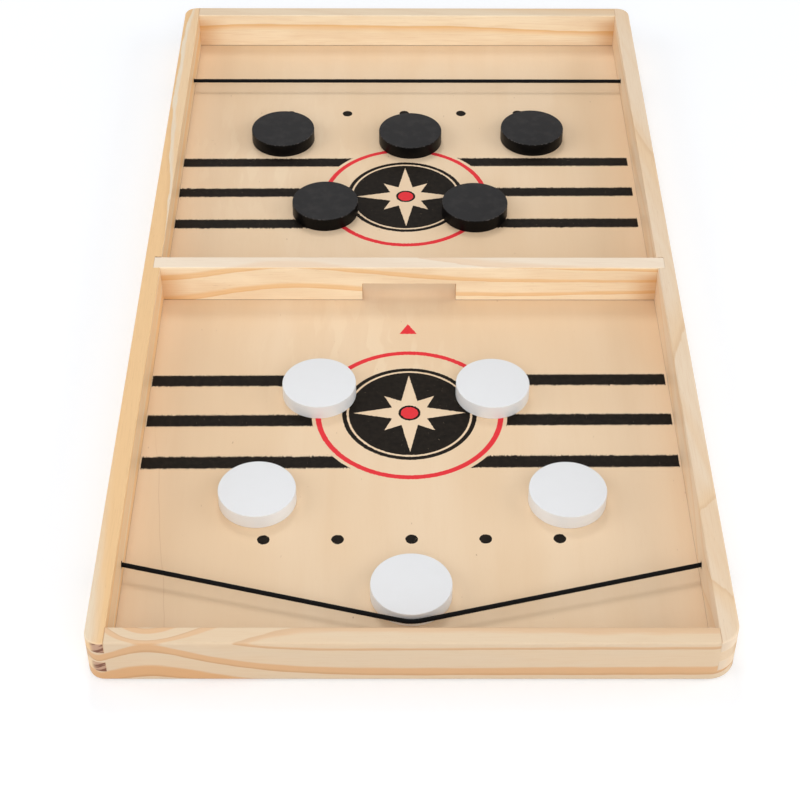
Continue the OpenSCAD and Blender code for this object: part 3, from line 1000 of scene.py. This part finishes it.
def cord_braider():
    """A cord braided over a core, along the line that the tree is given."""
    work = Workshop("braided_cord", {
        "Diameter": "NodeSocketFloat", "Strand": "NodeSocketFloat", "Weave": "NodeSocketFloat",
        "Lay": "NodeSocketFloat", "Carriers": "NodeSocketInt", "Step": "NodeSocketFloat",
        "Core": "NodeSocketFloat",
    })
    given = work.given
    line = work.add("GeometryNodeMeshToCurve", {}, {"Mesh": given["Geometry"]})
    line = work.add("GeometryNodeResampleCurve", {"mode": "LENGTH"}, {"Curve": line, "Length": given["Step"]})
    line = work.add("GeometryNodeSetCurveNormal", {"mode": "MINIMUM_TWIST"}, {"Curve": line})
    copies = {"Geometry": line, "Amount": given["Carriers"] * 2}
    strands = work.add("GeometryNodeDuplicateElements", {"domain": "SPLINE"}, copies)
    index = strands.other("Duplicate Index")
    way = index % 2 * 2 - 1
    run = work.add("GeometryNodeSplineParameter", output="Length")
    turn = run / given["Lay"] * math.tau
    angle = way * turn + (index / 2).floor() / given["Carriers"] * math.tau
    over_under = way * given["Weave"] * (turn * given["Carriers"]).cosine()
    radius = given["Diameter"] / 2 - given["Strand"] - given["Weave"] + over_under
    side = work.add("GeometryNodeInputNormal")
    ahead = work.add("GeometryNodeInputTangent")
    rise = work.add("ShaderNodeVectorMath", {"operation": "CROSS_PRODUCT"}, {0: ahead, 1: side})
    sideways = work.scaled(side, angle.cosine() * radius)
    upwards = work.scaled(rise, angle.sine() * radius)
    offset = work.add("ShaderNodeVectorMath", {"operation": "ADD"}, {0: sideways, 1: upwards})
    strands = work.add("GeometryNodeSetPosition", {}, {"Geometry": strands, "Offset": offset})
    tubes = [
        work.add("GeometryNodeCurveToMesh", {}, {
            "Curve": curve, "Fill Caps": True,
            "Profile Curve": work.add(
                "GeometryNodeCurvePrimitiveCircle", {"mode": "RADIUS"},
                {"Resolution": sides, "Radius": given[size]},
            ),
        })
        for curve, sides, size in ((strands, STRAND_SIDES, "Strand"), (line, CORE_SIDES, "Core"))
    ]
    work.deliver(work.add("GeometryNodeJoinGeometry", {}, {"Geometry": tubes}))
    return work


def braid(work, name, route, material):
    cord = work.make(
        name, line_mesh(name, route), material,
        Diameter=CORD_D * MM, Strand=STRAND_R * MM, Weave=WEAVE * MM, Lay=LAY * MM,
        Carriers=CARRIERS, Step=CORD_STEP * MM, Core=CORE_R * MM,
    )
    cord.data.shade_smooth()
    return cord


def hole(end, side):
    """Middle of a cord's hole, on the inner face of a side rail."""
    spot = middle(f"{end}_cord_{'left' if side < 0 else 'right'}_knot")
    return Vector((side * INNER_X, spot.y, spot.z))


def knot_seat(end, side):
    """Where a cord meets its knot, on the shoulder of the recess."""
    left_seat = high(f"{end}_cord_left_knot").x
    spot = hole(end, side)
    return Vector((-side * left_seat, spot.y, spot.z))


def bend_round_puck(left_hole, right_hole):
    """The drawn cord's stretch that lies against its puck."""
    puck = middle(DRAWN_PUCK)
    puck_r = high(DRAWN_PUCK).x - puck.x
    bend_r = puck_r + CORD_GAP + CORD_D / 2

    def leaves(spot, turn):
        away = (spot - puck).to_2d()
        return math.atan2(away.y, away.x) + turn * math.acos(bend_r / away.length)

    start = leaves(left_hole, 1)
    end = leaves(right_hole, -1) + math.tau
    angles = [start + (end - start) * step / BEND_STEPS for step in range(BEND_STEPS + 1)]
    return [
        Vector((puck.x + bend_r * math.cos(a), puck.y + bend_r * math.sin(a), DRAWN_CORD_Z))
        for a in angles
    ]


def cord_halves(work, end, material):
    """A cord, held in both side rails, in two halves that part in the middle."""
    left, right = hole(end, -1), hole(end, 1)
    bend = bend_round_puck(left, right) if end == "front" else []
    route = [knot_seat(end, -1), left, *bend, right, knot_seat(end, 1)]
    parting = middle(DRAWN_PUCK).x if end == "front" else 0.0
    for side, word in ((-1, "left"), (1, "right")):
        half = braid(work, f"{end}_cord_{word}_half", route, material)
        cut_at(half, parting, side)
        span = (parting - side * INNER_X) / (1 - 2 * SHARE_PAST)
        start = side * INNER_X - span * SHARE_PAST
        stop = parting + span * SHARE_PAST
        start * MM
        stop * MM
        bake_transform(half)
        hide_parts(f"{end}_cord")


def cut_at(piece, parting, side):
    """Keeps what lies on one side of the plane X = parting, and closes the cut."""
    solid = bmesh.new()
    solid.from_mesh(piece.data)
    everything = [*solid.verts, *solid.edges, *solid.faces]
    bmesh.ops.bisect_plane(
        solid, geom=everything, plane_co=(parting * MM, 0, 0), plane_no=(-side, 0, 0), clear_outer=True,
    )
    rims = [edge for edge in solid.edges if edge.is_boundary]
    bmesh.ops.holes_fill(solid, edges=rims)
    solid.to_mesh(piece.data)
    solid.free()


def knot_route(end, side):
    """An overhand knot that starts at the cord's hole and ends in a short tail."""
    seat = knot_seat(end, side)
    centre_x = seat.x + side * (KNOT_RISE + CORD_D / 2)
    points = []
    for step in range(KNOT_POINTS + 1):
        share = step / KNOT_POINTS
        t = math.tau * share
        near_end = min(t, math.tau - t) / KNOT_EASE
        free = min(1.0, near_end) ** 2 * (3 - 2 * min(1.0, near_end))
        loop = KNOT_R / 3 * free
        y = loop * (math.sin(t) + 2 * math.sin(2 * t))
        z = loop * (math.cos(t) - 2 * math.cos(2 * t))
        end_x = -KNOT_END if 2 * step < KNOT_POINTS else KNOT_END
        x = free * -KNOT_RISE * math.sin(3 * t) + (1 - free) * end_x
        points.append(Vector((centre_x + side * x, seat.y + y, seat.z + z)))
    return points


def cords():
    work = cord_braider()
    material = braided_elastic()
    for end in ("front", "back"):
        cord_halves(work, end, material)
        for side, word in ((-1, "left"), (1, "right")):
            node = f"{end}_cord_{word}_knot"
            knot = braid(work, f"{node}_tied", knot_route(end, side), material)
            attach(knot, "board")
            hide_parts(node)


# Stage, light and camera

FLOOR_SIDE = 12000.0
FLOOR_DROP = 0.3
FLOOR_TONE = (0.80, 0.82, 0.85, 1.0)
FLOOR_LIFT = 0.25
# Distances from the middle at which the floor begins to go over into the white background, and has done so
FLOOR_FADE = (450.0, 900.0)
SKY_FILL = 0.385
# Softboxes: place, side of the square and power
SOFTBOXES = {
    "key": ((-150.0, 950.0, 1450.0), 450.0, 5.7),
    "front": ((100.0, -1650.0, 1100.0), 1600.0, 16.0),
    "left": ((-1500.0, -300.0, 700.0), 1400.0, 10.2),
    "right": ((1500.0, -300.0, 450.0), 1400.0, 12.5),
}

PHOTO_SIDE = 800
SENSOR = 36.0
FOCAL_PIXELS = 1828.9
CAMERA_PLACE = (-8.305, -818.117, 665.988)
CAMERA_PITCH = math.radians(42.339)
CAMERA_YAW = math.radians(0.234)
CAMERA_ROLL = math.radians(0.194)


def seen_directly(bench):
    """1 for rays that show the background: the camera's own, mirrored and passed through."""
    path = bench.add("ShaderNodeLightPath", output="Is Camera Ray")
    return path | path.other("Is Glossy Ray") | path.other("Is Transmission Ray")


def stage_floor():
    half = FLOOR_SIDE / 2 * MM
    mesh = bpy.data.meshes.new("stage_floor")
    mesh.from_pydata(
        [(x, y, -FLOOR_DROP * MM) for x, y in ((-half, -half), (half, -half), (half, half), (-half, half))],
        [], [(0, 1, 2, 3)],
    )
    finish = Finish("stage_floor")
    x, y, _ = finish.place()
    seen = seen_directly(finish)
    far = finish.smooth((x * x + y * y).root(), *FLOOR_FADE)
    matt = finish.add("ShaderNodeBsdfDiffuse", {}, {"Color": FLOOR_TONE})
    lift = finish.add("ShaderNodeEmission", {}, {"Strength": seen * FLOOR_LIFT})
    near = finish.add("ShaderNodeAddShader", {}, {0: matt, 1: lift})
    white = finish.add("ShaderNodeEmission", {}, {"Strength": 1.0})
    shader = finish.add("ShaderNodeMixShader", {}, {0: far * seen, 1: near, 2: white})
    finish.add("ShaderNodeOutputMaterial", {}, {"Surface": shader})
    mesh.materials.append(finish.material)
    new_piece("stage_floor", mesh)


def sky():
    world = bpy.data.worlds.new("studio")
    world.use_nodes = True
    world.node_tree.nodes.clear()
    bench = Bench(world.node_tree)
    strength = seen_directly(bench) * (1 - SKY_FILL) + SKY_FILL
    glow = bench.add("ShaderNodeBackground", {}, {"Color": (1.0, 1.0, 1.0, 1.0), "Strength": strength})
    bench.add("ShaderNodeOutputWorld", {}, {"Surface": glow})
    bpy.context.scene.world = world


def softbox(name, place, side, power):
    data = bpy.data.lights.new(name, "AREA")
    data.size = side * MM
    data.energy = power
    lamp = bpy.data.objects.new(name, data)
    lamp.location = Vector(place) * MM
    lamp.rotation_euler = (-lamp.location).to_track_quat("-Z", "Y").to_euler()
    lamp.visible_camera = False
    bpy.context.scene.collection.objects.link(lamp)


def photo_camera():
    data = bpy.data.cameras.new("photo_camera")
    data.sensor_width = SENSOR
    data.lens = FOCAL_PIXELS * SENSOR / PHOTO_SIDE
    camera = bpy.data.objects.new("photo_camera", data)
    heading = Matrix.Rotation(-CAMERA_YAW, 4, "Z")
    tilt = Matrix.Rotation(math.pi / 2 - CAMERA_PITCH, 4, "X")
    roll = Matrix.Rotation(CAMERA_ROLL, 4, "Z")
    camera.matrix_world = Matrix.Translation(Vector(CAMERA_PLACE) * MM) @ heading @ tilt @ roll
    bpy.context.scene.collection.objects.link(camera)
    bpy.context.scene.camera = camera


photo_camera()
cords()
woodwork()
coat_cad_node("base_panel", printed_plywood())
coat_cad_node("panel_pins", wire_steel())
pucks()
stage_floor()
sky()
for name, (place, side, power) in SOFTBOXES.items():
    softbox(f"{name}_softbox", place, side, power)
bpy.context.scene.view_settings.view_transform = "Standard"
